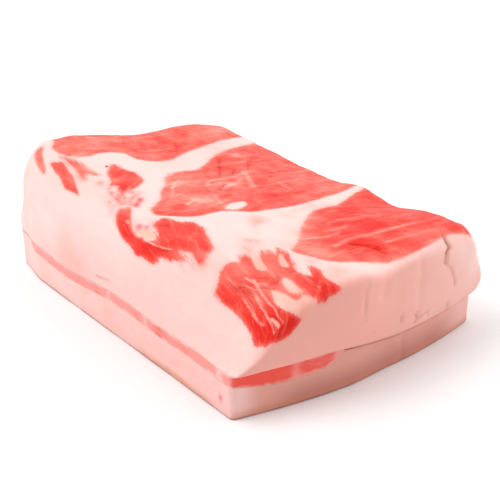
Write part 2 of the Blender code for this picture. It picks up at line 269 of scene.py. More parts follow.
CELL = 0.95
x_lines = np.linspace(-HALF_LENGTH, HALF_LENGTH, int(LENGTH / CELL) + 1)
y_lines = np.linspace(-HALF_WIDTH, HALF_WIDTH, int(WIDTH / CELL) + 1)
upper_draft, upper_quads = block_skin(x_lines, y_lines, np.linspace(0, DRAFT_HEIGHT, 39))
upper_form = bend_upper(upper_draft)
middle = (upper_form.min(axis=0) + upper_form.max(axis=0)) / 2
cad_middle = (Vector(CAD_LOW) + Vector(CAD_HIGH)) / 2 / MM
SHIFT = np.array([cad_middle.x - middle[0], cad_middle.y - middle[1], 0.0])
print("upper layer", len(upper_quads) * 2, "triangles, shifted by", SHIFT.round(2), "mm")

# %% [markdown]
# ## Where the lean lies
#
# The pattern is drawn on the block's skin laid flat: past an edge of the top it carries on
# down the wall, and at the corners it opens like a fan. There an outline is a smooth closed
# curve through a few points, and each place on the skin gets its distance to that curve. A
# distance is better than a painted mask: it stays smooth between the mesh's points, so the
# material can cut a crisp or a soft edge from it, however coarse the mesh is.

# %% Lay the skin flat
FAN = 20.0


def laid_flat(points):
    """Flat place of a skin point: its plan, pushed outwards by how far it is down the wall."""
    x, y, z = points.T
    out_x = x - np.clip(x, FAN - HALF_LENGTH, HALF_LENGTH - FAN)
    out_y = y - np.clip(y, FAN - HALF_WIDTH, HALF_WIDTH - FAN)
    reach = np.hypot(out_x, out_y)
    reach[reach == 0] = 1
    down = DRAFT_HEIGHT - z
    return np.stack([x + out_x / reach * down, y + out_y / reach * down], axis=1)


flat = laid_flat(upper_draft)
print("flat skin spans", flat.min(axis=0).round(), "to", flat.max(axis=0).round(), "mm")


# %% Distances to outlines and strokes
def ring_through(points, steps=4):
    """A smooth closed curve (Catmull-Rom) through the points of an outline."""
    knots = np.array(points, float)
    before, after, far = np.roll(knots, 1, 0), np.roll(knots, -1, 0), np.roll(knots, -2, 0)
    rows = []
    for t in np.arange(steps) / steps:
        rows.append(0.5 * (
            2 * knots + (after - before) * t
            + (2 * before - 5 * knots + 4 * after - far) * t ** 2
            + (3 * knots - before - 3 * after + far) * t ** 3
        ))
    return np.stack(rows, axis=1).reshape(-1, 2)


def to_segment(places, start, end):
    """Distance to a straight piece, and how far along it the nearest point is (0 to 1)."""
    step = end - start
    share = np.clip((places - start) @ step / (step @ step), 0, 1)
    return np.linalg.norm(places - start - share[:, None] * step, axis=1), share


def to_outline(places, outline):
    """Signed distance to a closed curve: least distance to its pieces, negative inside,
    where a line from the place crosses the curve an odd number of times."""
    ring = ring_through(outline)
    distance = np.full(len(places), 1e6)
    inside = np.zeros(len(places), bool)
    u, v = places.T
    for start, end in zip(ring, np.roll(ring, -1, 0)):
        distance = np.minimum(distance, to_segment(places, start, end)[0])
        if start[1] != end[1]:
            crosses = (start[1] > v) != (end[1] > v)
            at = start[0] + (v - start[1]) / (end[1] - start[1]) * (end[0] - start[0])
            inside ^= crosses & (u < at)
    return np.where(inside, -distance, distance)


def to_stroke(places, path, wide, narrow):
    """Signed distance to a brush stroke that starts wide and ends narrow."""
    path = np.array(path, float)
    lengths = np.linalg.norm(np.diff(path, axis=0), axis=1)
    passed = np.concatenate([[0], np.cumsum(lengths)]) / lengths.sum()
    distance = np.full(len(places), 1e6)
    for i in range(len(path) - 1):
        away, share = to_segment(places, path[i], path[i + 1])
        along = passed[i] + share * (passed[i + 1] - passed[i])
        distance = np.minimum(distance, away - (wide + along * (narrow - wide)) / 2)
    return distance


# %% Smooth random fields
def wander(points, size, seed):
    """Smooth noise from -1 to 1: random values on a lattice of that size, eased between."""
    places = np.asarray(points, float) / size
    cell = np.floor(places).astype(np.int64)
    share = places - cell
    share = share * share * (3 - 2 * share)
    values = np.random.default_rng(seed).uniform(-1, 1, 4096)
    primes = np.array([73856093, 19349663, 83492791])[:places.shape[1]]
    total = np.zeros(len(places))
    for corner in np.ndindex(*(2,) * places.shape[1]):
        step = np.array(corner)
        weight = np.where(step == 1, share, 1 - share).prod(axis=1)
        key = np.bitwise_xor.reduce((cell + step) * primes, axis=1) & 4095
        total += weight * values[key]
    return total


def rough(points, size, seed):
    """Wander with a second layer that is half as large and half as strong."""
    return wander(points, size, seed) + wander(points, size / 2, seed + 1) / 2


# %% [markdown]
# ## The pads
#
# Each pad is a muscle, or what the knife left of one. It has an outline, the way its grain
# runs and how red it is: the thin pad at the back is pale, the ones at the right and the
# front are deep red. Where a muscle thins out over the fat its edge is soft, so each pad
# also has an edge width.

# %% Outlines of the pads
# Name: (way of the grain in degrees, redness, width of the edge in mm, outline).
PADS = {
    "back": (94, 0.3, 0.7,
     ((-74, -53), (-69, -53), (-64, -51.5), (-61, -47), (-60, -40), (-62.5, -35), (-64, -27),
     (-63, -19), (-57, -17), (-54, -12), (-53, -5), (-54, 3), (-58, 11), (-61, 20), (-64, 33),
     (-67, 45), (-71, 58), (-77, 78), (-108, 78), (-110, 10), (-104, -36), (-88, -46), (-78, -50))),
    "middle": (98, 0.39, 0.8,
     ((-66, 80), (-62, 60), (-58.5, 47), (-55, 35), (-50, 25), (-42, 14), (-38, 6), (-38, -2),
     (-37, -9), (-31, -17), (-22, -23), (-16, -29), (-8, -34), (-4, -38), (0, -43), (5, -46),
     (9, -46), (13.5, -40), (18, -33), (18, -26), (18, -18), (21, -12), (25.5, -5), (27, 4),
     (27.5, 11), (27.5, 19), (26.5, 28), (23.5, 42), (21, 53), (18, 62), (12, 80))),
    "right": (82, 0.56, 0.8,
     ((21, 80), (24, 62), (27, 53), (32, 43), (36, 34), (36.5, 26), (37, 20), (40, 14), (45, 7),
     (51, -1), (57, -8), (62, -15), (65, -20.5), (68, -22.5), (71.5, -20.5), (75.5, -18.5),
     (79.5, -16), (82.5, -12), (84.5, -7), (87.5, 2), (90.5, 10), (92, 16), (92, 30), (91, 47),
     (93, 55), (96, 62), (97, 82))),
    "front": (-24, 0.5, 0.6,
     ((67, -75), (66, -70), (64, -64), (62, -58), (61, -53), (62, -49), (59, -45), (60, -42),
     (63, -41.5), (65.5, -43), (64, -39), (61, -35), (60, -32), (62, -30.5), (65, -32), (64, -28),
     (62, -25.5), (65, -25), (69, -27), (73, -29.5), (78, -32.5), (82, -32.5), (84, -30.5), (81, -28),
     (79.5, -25.5), (83, -24), (87, -27), (91, -28), (94, -27), (97.5, -26.5), (99, -30), (98.5, -33),
     (100, -35), (99.5, -38.5), (98, -43), (101.5, -47), (104, -49.5), (106, -53), (108, -58),
     (107.5, -65), (105.5, -71), (106.5, -74.5), (104.5, -78.5), (100, -79.5), (94, -77.5), (88, -77),
     (82.5, -76.5), (75, -76.5), (70.5, -76.5))),
    "hook": (-32, 0.6, 0.7,
     ((-3, -53), (-5, -53.5), (-5, -56), (-2, -60), (4, -65), (10, -69), (14, -71.5), (21, -74),
     (25, -76.5), (29, -76), (34, -77), (37.5, -75), (38, -71.5), (42, -71), (45, -67.5), (48, -67.5),
     (47, -63.5), (43, -61), (45, -60.5), (48, -60), (53, -62.5), (54, -60), (52, -55), (50, -50),
     (42, -44.5), (32, -38.5), (27, -37.5), (23, -37.5), (20, -42), (16, -43.5), (13, -45.5),
     (14, -48), (16, -52), (21, -55.5), (26, -58.5), (29, -61.5), (26, -65), (23, -64), (20, -64.5),
     (13, -61), (5, -56), (1, -54))),
    "island": (-50, 0.5, 0.8,
     ((-48, -37), (-50, -33), (-45, -31.5), (-42, -30), (-38, -28), (-30, -29.5), (-26, -34),
     (-23, -38.5), (-21, -44), (-17.5, -48), (-22.5, -46.5), (-28, -44), (-29, -47.5), (-35, -44),
     (-41, -42))),
    "sliver": (-8, 0.48, 0.5,
     ((-63, -60), (-61, -57.5), (-57.5, -55.5), (-52.5, -56), (-46, -57.5), (-38, -60), (-31, -63.5),
     (-35, -64), (-42, -65.5), (-48, -63.5), (-52, -62), (-57, -61.5))),
    "crescent": (-20, 0.16, 0.9,
     ((-78, -56), (-80, -60), (-78, -63), (-72, -65.5), (-66, -67), (-61.5, -67.5), (-63, -64),
     (-68, -61.5), (-73, -59))),
    "tail": (-10, 0.28, 1.5,
     ((-64, -53.5), (-59, -50), (-54, -48), (-50, -48.5), (-46, -47.5), (-41, -46), (-40.5, -47.5),
     (-43, -50.5), (-42, -52.5), (-38, -55), (-42, -56), (-46, -54.5), (-51, -53.5), (-57, -54))),
}
print(len(PADS), "pads of lean on the upper layer")

# %% [markdown]
# Fat runs into the lean as well: two white lobes part the front pad, a small one lies in
# the middle pad, and thin white lines follow the grain. Lobes are outlines too. Lines are
# strokes, which start wide and end narrow, as a brush leaves them.

# %% Fat inside the lean
FAT_LOBES = (
    ((80, -43.5), (80, -41), (83, -41), (87, -42), (89.5, -43), (89.5, -45.5), (86.5, -47.5),
     (83, -46)),
    ((83, -54), (83.5, -51.5), (87.5, -50), (90.5, -50), (92, -48), (91.5, -44.5), (92.5, -42),
     (98.5, -39.5), (104, -41), (104, -46), (101.5, -50), (98.5, -53.5), (94, -56.5),
     (90, -58.5), (86.5, -57)),
    ((13.5, -13), (11, -7), (12, -1), (16.5, -3.5), (19.5, -11), (17, -14.5)),
)
FAT_LINES = (                       # path, width at its start, width at its end
    (((78.5, -68.5), (82.5, -70), (88, -71.5), (91.5, -72), (94.5, -71.5)), 0.9, 0.5),
    (((74, -54), (82.5, -59), (88, -61), (96, -62), (99, -61.5)), 1.3, 0.5),
    (((81.5, -62.5), (87, -66), (92, -68), (97, -69), (101, -68.5)), 0.8, 0.9),
    (((95, -66.5), (99, -65)), 2.6, 2.2),
    (((58, -35), (63, -39.5), (67, -42.5), (69.5, -44)), 1.4, 4.8),
    (((67, -29.5), (70, -32), (73, -33.8)), 1.8, 3.6),
    (((71.5, -56), (76, -55.5), (78, -52)), 1.2, 0.6),
    (((73.5, -60.5), (79, -59)), 0.8, 0.3),
    (((25, -64), (30, -64.6), (34, -64.2), (39, -62.8)), 1.4, 0.7),
    (((6.5, -59), (9, -60)), 1.4, 1.0),
    (((-24, -16), (-18, -21), (-11, -26)), 0.7, 0.3),
    (((3, -27), (-1, -20), (-2, -12)), 1.3, 0.4),
)

# %% Soft fields
def slanted(places):
    """Places measured across and along the way the pores are drawn out, which is halved."""
    u, v = places.T
    return np.stack([0.61 * u + 0.79 * v, (0.61 * v - 0.79 * u) / 2], axis=1)


def spots(places, rows, drawn_out=False):
    """Sum of soft spots: (u, v, radius, strength). They are round, or drawn out to twice
    their length."""
    total = np.zeros(len(places))
    for u, v, radius, strength in rows:
        away = places - (u, v)
        away = slanted(away) if drawn_out else away
        total += strength * np.exp(-(away ** 2).sum(axis=1) / radius ** 2)
    return total


def soft_lines(places, rows):
    """Strongest of several lines with a bell-shaped section: (path, width, strength)."""
    total = np.zeros(len(places))
    for path, width, strength in rows:
        away = np.maximum(to_stroke(places, path, 0, 0), 0)
        total = np.maximum(total, strength * np.exp(-(away / width) ** 2))
    return total


# %% Distance to the lean
# Where an edge of lean is ragged: (u, v, radius, strength).
FEATHER_SPOTS = (
    (52, -60, 6, 1), (42, -70, 7, 0.7), (66, -33, 9, 0.9), (74, -30, 6, 0.5), (-26, -44, 5, 0.9),
    (-60, -50, 6, 1), (-46, -47, 6, 1), (-3, -52, 4, 1), (92, -42, 6, 0.6), (0, -43, 6, 0.5),
    (-34, -12, 7, 0.5), (62, -42, 5, 0.8), (24, -58, 5, 0.8), (70, -76, 5, 0.4),
)
grain_ways, pad_redness, pad_edges, pad_outlines = zip(*PADS.values())
stacked = np.stack([to_outline(flat, outline) for outline in pad_outlines])
nearest = stacked.argmin(axis=0)
lean_distance = stacked.min(axis=0)
for lobe in FAT_LOBES:
    lean_distance = np.maximum(lean_distance, -to_outline(flat, lobe))
vein_distance = np.full(len(flat), 50.0)
for path, wide, narrow in FAT_LINES:
    vein_distance = np.minimum(vein_distance, to_stroke(flat, path, wide, narrow))
redness = np.array(pad_redness)[nearest]
feather = np.clip(spots(flat, FEATHER_SPOTS), 0, 1)
edge_width = np.array(pad_edges)[nearest] + 0.9 * feather
print("lean covers", round(float((lean_distance < 0).mean()) * 100), "% of the skin's points")

# %% [markdown]
# Muscle isn't evenly red. Blood and water leave some parts dark and others pale, and thin
# skins of fat show through. These are soft fields on the flat skin: spots that fall off as
# a bell, and lines with a soft width.

# %% Redder, paler and darker places
DEEP_SPOTS = (
    (55, 25.5, 6, 0.95), (61, 28.5, 6, 0.65), (84, -31, 4, 0.25), (68, 29.5, 5, 0.5),
    (42.5, 35.5, 5, 0.4), (75, 3, 7, 0.32), (77, 12, 6, 0.4), (47, 12, 5, 0.15), (92, -75, 8, 0.32),
    (101, -74, 8, 0.34), (100, -64, 8, 0.34), (103, -54, 7, 0.3), (95, -32, 8, 0.42),
    (80, -70, 8, 0.15), (70, -58, 6, 0.1), (88, -66, 5, 0.1), (8, -66, 6, 0.2), (10.5, -61, 4, 0.3),
    (17, -65, 5, 0.3), (30, -70, 6, 0.4), (18, -45, 5, 0.12), (44, -53, 7, 0.1), (-26, -41, 4, 0.4),
    (20, -26, 4, 0.3), (15, -36, 4, 0.25), (9, -43, 4, 0.2), (22, -13, 4, 0.3), (14, 14, 7, 0.22),
    (10, 36, 6, 0.15), (-5, 22, 6, 0.12), (-21, 38, 6, 0.15), (-10, -12, 7, 0.06), (18, 0, 5, 0.2),
    (-60, 8, 6, 0.25), (-72, 14, 8, 0.25), (-66, -30, 6, 0.2), (-48, 28, 4, 0.3), (11, 16, 6, 0.25),
    (14, 21, 5, 0.25), (-36, 20, 5, 0.2), (-70, -6, 7, 0.15), (-40, -33, 5, 0.12), (-24, -38, 4, 0.12),
)
PALE_SPOTS = (
    (-62, -44, 7, 0.35), (-75, -28, 8, 0.25), (-30, -14, 8, 0.12), (-58, 33, 6, 0.4),
    (-50, 40, 2.5, 0.9), (-12, 8, 5, 0.45), (69.5, -14, 6, 0.45), (75.5, -13, 6, 0.4),
    (58, -6.5, 6, 0.45), (49.5, 3.5, 5, 0.4), (44, 13.5, 5, 0.35), (-4, -53, 3.5, 0.5),
    (62, -32, 6, 0.35), (72, -40, 7, 0.4), (66, -50, 5, 0.2), (60, -16, 8, 0.25), (42, 12, 5, 0.15),
    (-34, -6, 7, 0.2), (-24, -20, 8, 0.25), (4, -16, 8, 0.12), (-20, -5, 9, 0.2), (-6, 52, 9, 0.15),
    (50, -57, 4, 0.35), (44, -64, 5, 0.25), (-78, 50, 9, 0.2), (15, 50, 7, 0.2), (86, -46, 7, 0.3),
    (-24, -15, 7, 0.3), (-9, -26, 6, 0.3), (1, -19, 7, 0.5), (68, -63, 4, 0.3), (67, -54, 5, 0.35),
    (-46, -47, 5, 0.5), (81, -5.5, 4, 0.35), (85.5, 5, 4, 0.35), (90, 13, 4, 0.35), (89, 47, 5, 0.4),
    (84, 36, 6, 0.25), (80, -55, 4, 0.35), (82, -63, 5, 0.3),
)
PALE_LINES = (
    (((-17, -2), (-21, 2), (-23, 9), (-23, 14), (-21.5, 18), (-24, 24), (-28, 30)), 0.75, 0.95),
    (((-27, 28), (-18, 24), (-6, 18)), 1.5, 0.7),
    (((-20, 22), (-14, 15), (-12, 8), (-9, 2)), 1.3, 0.45),
    (((-24, -13), (-24, -8), (-23, -3)), 0.8, 0.6),
    (((-18, -22), (-23, -16)), 0.9, 0.6),
    (((-9, -28), (-10, -21)), 0.8, 0.6),
    (((-2, -20), (2, -19), (3, -14)), 1.5, 0.95),
    (((-2, -8), (8, -12)), 0.8, 0.6),
    (((-12, 33), (6, 32)), 0.7, 0.3),
    (((0, -36), (1, -25)), 0.7, 0.3),
    (((71.5, -2), (69, 9.5), (70.5, 23.5), (72.5, 37), (74, 45)), 1.0, 0.5),
    (((64, 2), (62, 10), (58, 15)), 0.8, 0.35),
    (((59, 10), (58, 17), (57, 21)), 0.6, 0.35),
    (((77, -12), (76, 0)), 0.6, 0.3),
    (((49, 34), (57, 39)), 0.7, 0.3),
    (((80, 20), (82, 34), (85, 46)), 0.8, 0.25),
    (((-62, -38), (-66, -10), (-68, 14)), 0.7, 0.25),
    (((-72, 20), (-75, 42), (-79, 56)), 0.8, 0.35),
    (((88, -30), (92, -36), (95, -39)), 0.5, 0.3),
)
# A split in the lean is dark, and may be a groove: (path, width, darkness, width of the
# groove, its depth).
SPLITS = (
    (((-48, 28), (-38, 21), (-28, 14)), 0.9, 0.85, 1, 0.5),
    (((-26, 20), (-32, 26)), 0.9, 0.95, 0.8, 0.4),
    (((-42, 42), (-30, 33)), 0.8, 0.75, 0.8, 0.4),
    (((-8, -1), (-15, 7)), 0.8, 0.95, 0.8, 0.5),
    (((-14, -6), (-8, -8)), 0.8, 0.75, 1, 0),
    (((-10, 32), (7, 30)), 0.6, 0.7, 1, 0),
    (((-23, 50), (-20, 54)), 0.8, 0.85, 1, 0),
    (((64.5, -7.5), (63.5, -0.5)), 0.6, 0.5, 0.8, 0.4),
    (((80.5, -1), (81.5, 2.5)), 0.9, 0.45, 1, 0),
    (((77, 24.5), (79, 27)), 0.7, 0.4, 1, 0),
    (((72, 6), (77, 10), (81, 12), (85, 12.5)), 0.8, 0.75, 1, 1),
    (((50, 13), (55, 14)), 0.7, 0.3, 1, 0),
    (((79.5, -50), (79.5, -46.5), (78, -43)), 0.7, 0.45, 0.9, 0.6),
    (((72.5, -52), (75, -50), (76, -46.5)), 0.7, 0.4, 1, 0),
    (((68, -30.5), (69.5, -28.5), (71.5, -29.5)), 0.6, 0.45, 1, 0),
    (((86, -36), (90, -33)), 0.7, 0.35, 0.8, 0.5),
    (((98, -50), (103, -51)), 0.9, 0.35, 1, 0),
    (((34, -67), (38, -66)), 0.7, 0.4, 0.8, 0.5),
    (((18, -43.5), (24, -42), (30, -43)), 0.7, 0.35, 1, 0),
)
DARK_SPOTS = (
    (19, -52.5, 1.3, 0.6), (20, -50, 1.3, 0.7), (21.3, -48.5, 1.3, 0.7), (25, -43.4, 1.3, 0.5),
    (32.6, -46.6, 1.5, 0.4), (38, -64, 1.2, 0.7),
)
deep = np.clip(redness + spots(flat, DEEP_SPOTS), 0, 1)
pale = np.clip(spots(flat, PALE_SPOTS) + soft_lines(flat, PALE_LINES), 0, 1)
dark = np.clip(soft_lines(flat, [row[:3] for row in SPLITS]) + spots(flat, DARK_SPOTS), 0, 1)
print("deep red up to", round(float(deep.max()), 2), "pale up to", round(float(pale.max()), 2))

# %% [markdown]
# Fat is cream where it is dry and pink where lean lies just below it or blood has stained
# it. The pores between the small pads and the blush above the streak are such stains, so
# they are a tint of the fat and not lean. On the end face the pink is painted shade, and a
# few spots near the end paint shade and light.

# %% Stains in the fat, with painted shade and light
TINT_LINES = (                      # path, width, strength
    (((36, -13), (38, -16)), 1.8, 0.5),
    (((52, -28), (50, -31)), 2.6, 0.5),
    (((56, -37), (59, -40)), 2.8, 0.5),
    (((34, 10), (33, 18)), 2.2, 0.3),
    (((28, -8), (36, -16), (46, -22)), 1.6, 0.2),
    (((38, 30), (44, 8), (56, -8)), 2.4, 0.22),
)
TINT_SPOTS = (                      # u, v, radius, strength
    (-33, -50, 2.6, 0.45), (-26, -48, 4.5, 0.8), (-18, -50, 4.5, 0.9), (-16, -45, 4, 0.8),
    (-11, -53, 5, 0.85), (-6, -50, 3.5, 0.75), (-20, -41, 3.5, 0.65), (-8, -45, 3, 0.5),
    (-48, -49, 6, 0.35), (68, -34, 6, 0.4), (74, -40, 7, 0.4), (90, -44, 6, 0.55), (100, -47, 4, 0.5),
    (86, -52, 5, 0.5), (14, -58, 4, 0.4), (54, -60, 5, 0.5), (52, -66, 6, 0.35), (44, -74, 5, 0.3),
)
# Blush of the fat: (u, v, radius, strength). The spots beside the front pad's top edge, at u 77 to 95,
# are painted shade where the top falls away to the end face; the two that lighten the far corner of the
# end face are painted light.
BLUSH_SHADE_AND_LIGHT_SPOTS = (
    (-38, -96, 11, 0.3), (-24, -99, 9, 0.22), (-78, -95, 14, -0.28), (-52, -90, 12, -0.22),
    (-86, -76, 14, 0.3), (-55, -70, 12, 0.1), (55, -6, 7, 0.3), (63, -19, 6, 0.35), (54, -33, 7, 0.35),
    (-52, 0, 12, 0.25), (-55, 35, 12, 0.25), (53, -58, 8, 0.25), (34.5, -11, 4.5, 0.8), (36, 4, 5, 0.3),
    (32, 23, 5, 0.4), (36, 31, 5, 0.45), (77, -22, 3.5, 0.45), (-107, -94, 9, -0.3),
    (-14, -50, 7, 0.45), (-8, -52, 5, 0.25), (-30, -50, 8, 0.25), (-42, -56.5, 6, 0.3),
    (12.5, -51.5, 4, 0.3), (90, -24, 5, 0.5), (87, -18, 4, 0.4), (95, -14, 8, 0.25), (90, -46, 7, 0.35),
    (64, -47, 4, -0.2), (109, 66, 9, -0.4), (104, 52, 6, -0.25), (88, -62, 10, -0.1),
    (-60, -80, 14, -0.05),
)
BLOOD_SPOTS = (
    (-10.4, -43, 1.3, 1), (-4.8, -48, 1.2, 1), (-7.5, -45.5, 0.9, 0.6), (16, -59, 1.4, 0.8),
    (18.7, -57, 1.2, 0.75), (-14.6, -52, 1, 0.7), (-22, -50.5, 1, 0.6), (-6, -60, 1.6, 0.25),
    (-17.5, -48, 0.9, 0.5), (-12, -46, 0.8, 0.5), (-19, -52.5, 0.8, 0.4), (-9, -51.5, 0.9, 0.4),
)
PEACH_SPOTS = (
    (88, -44, 5, 0.55), (93, -52, 5, 0.55), (86, -55, 5, 0.6), (99, -45, 5, 0.5), (66, -42, 4, 0.4),
    (19, -61.5, 2.4, 0.9), (23, -61, 2.6, 1), (26, -61, 2.2, 0.9), (22, -58, 2.2, 0.5),
    (9, -57.5, 1.8, 0.5), (-14, -56, 2.5, 0.3), (-12, -49, 2.4, 0.4),
)
GREY_SPOTS = (
    (-15, -48.2, 0.9, 0.6), (-13.3, -45.5, 0.9, 0.55), (-9.8, -48.3, 1, 0.5), (-21.5, -51, 0.9, 0.4),
    (-33, -50, 1.4, 0.25),
)
# Painted shade: these dark lines follow the creases that the relief cuts into the fat, where their
# shade falls.
CRACK_SHADE_LINES = (                          # dark lines in the fat: path, width, strength
    (((89.5, 45.5), (93, 43.5), (98, 43.5)), 0.9, 0.9),
    (((98, 43.5), (100.5, 39.7), (103, 37.5)), 0.8, 0.75),
    (((104, 38), (109, 42.4), (117.5, 45)), 0.6, 0.4),
    (((-8, -99), (-3, -98.4), (3.5, -98)), 0.5, 0.5),
    (((120.5, 10.2), (122, 11.5), (123.3, 10.8)), 0.5, 0.4),
    (((123.5, 20), (125.5, 21.8), (127, 20.8)), 0.55, 0.5),
    (((126.3, 23), (125, 26), (124.5, 28), (126.8, 29)), 0.45, 0.32),
    (((127.3, 33), (127.8, 38.5)), 0.4, 0.2),
    (((126.5, 42), (128.5, 44), (129.8, 43.5)), 0.5, 0.42),
    (((123, -6.5), (124.5, -5.5)), 0.5, 0.2),
    (((99, -13), (108, -13), (116, -12.6)), 0.9, 0.12),
)
SPECK = (-48, -38.5)
pore_place = slanted(flat)
pores = np.clip(0.7 + 1.3 * wander(pore_place, 2.4, 5), 0.05, 1.4)
tint = np.clip(soft_lines(flat, TINT_LINES) + spots(flat, TINT_SPOTS) * pores, 0, 1)
blood = np.clip(spots(flat, BLOOD_SPOTS, True), 0, 1)
peach = np.clip(spots(flat, PEACH_SPOTS), 0, 1)
grey = np.clip(spots(flat, GREY_SPOTS, True) + soft_lines(flat, CRACK_SHADE_LINES), 0, 1)
speck_distance = np.linalg.norm(slanted(flat - SPECK), axis=1)
print("stained points", int((tint > 0.1).sum()))

# %% [markdown]
# ## Relief
#
# A knife leaves fat smooth and a little wavy. Lean shrinks back from the cut, so a pad lies
# slightly lower than the fat around it, and its grain stands in fine ridges. The relief is
# made in the mesh itself, because a shape that shows should still be there in the exported
# model, and it swings about the form, so that the slab keeps its true size.

# %% Grain coordinates
angle = np.radians(grain_ways)[nearest]
grain_along = flat[:, 0] * np.cos(angle) + flat[:, 1] * np.sin(angle)
grain_across = flat[:, 1] * np.cos(angle) - flat[:, 0] * np.sin(angle)
grain_across = grain_across + 2.5 * wander(flat, 28, 11) + 0.8 * wander(flat, 9, 12)
print("grain runs at", grain_ways, "degrees")


# %% Relief depth
CREASES = (                         # path, width, depth, all in mm
    (((27, -8), (35, -16), (43, -20), (50, -27), (56, -33)), 3, 0.4),
    (((98, -11), (102, -12.5), (106, -13.5), (112, -14)), 1.2, 0.4),
    (((89.5, 45.5), (93, 43.5), (98, 43.5), (100.5, 39.7), (104, 38)), 1, 1.4),
    (((104, 38), (109, 42.4), (117.5, 45)), 0.9, 0.5),
    (((90, 8), (98, 1), (106, -2)), 2.6, 0.5),
    (((95, 23), (108, 21), (118, 21)), 2.2, 0.45),
    (((119.5, 10.2), (121.5, 11.5), (123.3, 10.8)), 1, 0.7),
    (((122.7, 20), (125, 21.8), (126.6, 20.8)), 1, 0.9),
    (((126, 21.5), (125, 25), (124, 28), (126.8, 29)), 1, 0.6),
    (((125.7, 42), (128, 44), (129.6, 43.5)), 1, 0.7),
    (((-8, -99), (-3, -98.4), (3.5, -98)), 0.8, 0.6),
)
split_grooves = [(path, width, depth) for path, _, _, width, depth in SPLITS]
lean_share = smooth(0.5 - lean_distance / 2.4)
grain_place = np.stack([grain_along, grain_across], axis=1)
ridges = 0.5 * wander(grain_place / (9, 1.6), 1.0, 21) + wander(grain_place / (15, 4.2), 1.0, 22)
fold = rough(grain_place / (2.0, 1.0), 5.0, 61)
wrinkle = np.exp(-(fold / 0.11) ** 2) * smooth((wander(flat, 11, 63) + 0.1) / 0.5) * lean_share
lumps = 0.5 + 0.5 * rough(upper_form, 24, 31) / 1.5
fat_wave = 0.5 + 0.5 * wander(upper_form, 9, 41)
relief = 0.55 * lumps + 0.22 * fat_wave + soft_lines(flat, (*CREASES, *split_grooves)) - 0.45
relief += lean_share * (0.32 + 0.17 * ridges + 0.16 * rough(upper_form, 5, 51) + 0.25 * wrinkle)
# Along the near side the layers are one cut surface, so their relief is equal at the seam.
NEAR_RELIEF = 0.15
near_seam = smooth((-upper_draft[:, 1] - 60) / 6) * (1 - smooth((upper_draft[:, 2] - 0.5) / 5))
near_seam = near_seam * (1 - smooth((upper_draft[:, 0] - 70) / 10))
relief = relief + (NEAR_RELIEF - relief) * near_seam
print("relief from", round(float(relief.min()), 2), "to", round(float(relief.max()), 2), "mm deep")


# %% Make the upper layer
def add_object(name, data):
    """Put a new object with this data into the scene."""
    item = bpy.data.objects.new(name, data)
    bpy.context.scene.collection.objects.link(item)
    return item


def mesh_from(name, points, quads, hidden):
    """A mesh piece from points in millimetres, moved into the frame and kept in its box.
    It is shaded smooth but for the hidden faces of a seam, so the seam's edge stays crisp."""
    placed = np.clip((points + SHIFT) * MM, CAD_LOW, CAD_HIGH)
    mesh = bpy.data.meshes.new(name)
    mesh.from_pydata(placed.tolist(), [], quads.tolist())
    mesh.polygons.foreach_set("use_smooth", ~hidden)
    mesh.update()
    return add_object(name, mesh)


def normals_of(points, quads):
    """Unit normal of each point: the sum of the cross products of its faces' diagonals."""
    corner = points[quads]
    face = np.cross(corner[:, 2] - corner[:, 0], corner[:, 3] - corner[:, 1])
    total = np.zeros_like(points)
    for i in range(4):
        np.add.at(total, quads[:, i], face)
    return total / np.maximum(np.linalg.norm(total, axis=1, keepdims=True), 1e-9)


def facing_end(normals):
    """How far a surface faces the end, +X: 0 when turned away, 1 when square to it."""
    return smooth((normals[:, 0] - 0.2) / 0.65)


def keep_fields(piece, **fields):
    """Store fields with a piece. Each has one number or one vector for each point."""
    for name, values in fields.items():
        values = np.asarray(values, np.float32)
        kind, key = ("FLOAT", "value") if values.ndim == 1 else ("FLOAT_VECTOR", "vector")
        field = piece.data.attributes.new(name, kind, "POINT")
        field.data.foreach_set(key, values.ravel())


upper_seam = (upper_draft[upper_quads, 2] == 0).all(axis=1)
normals = normals_of(upper_form, upper_quads[~upper_seam])
upper_points = upper_form - normals * relief[:, None]
upper = mesh_from("fat_and_pads", upper_points, upper_quads, upper_seam)
down = DRAFT_HEIGHT - upper_draft[:, 2]
end_face = facing_end(normals)
to_far = smooth((upper_form[:, 1] + 30) / 90)
near_wall = smooth((-normals[:, 1] - 0.15) / 0.6) * (1 - end_face)
pinkness = 0.18 + 0.27 * near_wall * smooth((down / DRAFT_HEIGHT - 0.3) / 0.7)
# Blush, with a few spots of painted shade and painted light near the end.
pinkness += spots(flat, BLUSH_SHADE_AND_LIGHT_SPOTS)
# Painted shade: fat that faces the end is made pinker and darker, less so towards the far side, which
# the far lamp lights.
pinkness += end_face * (0.86 - 0.32 * to_far)
APART = 37.0                            # sets the pads apart in the noise, so no two are alike
keep_fields(
    upper,
    skin=np.column_stack([flat, down]),
    grain=np.column_stack([grain_along, grain_across, nearest * APART]),
    lean_distance=lean_distance, vein_distance=vein_distance, edge_width=edge_width,
    feather=feather, wrinkle=wrinkle, deep=deep, pale=pale, dark=dark, tint=tint,
    blood=blood, peach=peach, grey=grey, pinkness=pinkness, speck_distance=speck_distance,
    pore_place=np.column_stack([pore_place, upper_draft[:, 2]]))
print("upper layer made:", len(upper_points), "points")

# %% [markdown]
# ## Writing materials as sums
#
# A material is arithmetic on fields, so it is easiest to read as arithmetic. A small class
# wraps a socket and turns +, -, * and / into Math nodes. Another method adds any other kind
# of node. Colours never pass through a Math node, which would turn them grey: they go
# through Mix nodes. The sky further down is written the same way.

# %% A small language for materials
class Wire:
    """The output of a node. Arithmetic on a wire adds Math nodes behind it."""

    def __init__(self, paint, socket):
        self.paint = paint
        self.socket = socket

    def __add__(self, other):
        return self.paint.math("ADD", self, other)

    def __sub__(self, other):
        return self.paint.math("SUBTRACT", self, other)

    def __mul__(self, other):
        return self.paint.math("MULTIPLY", self, other)

    def __truediv__(self, other):
        return self.paint.math("DIVIDE", self, other)

    def __rsub__(self, other):
        return self.paint.math("SUBTRACT", other, self)

    __radd__ = __add__
    __rmul__ = __mul__


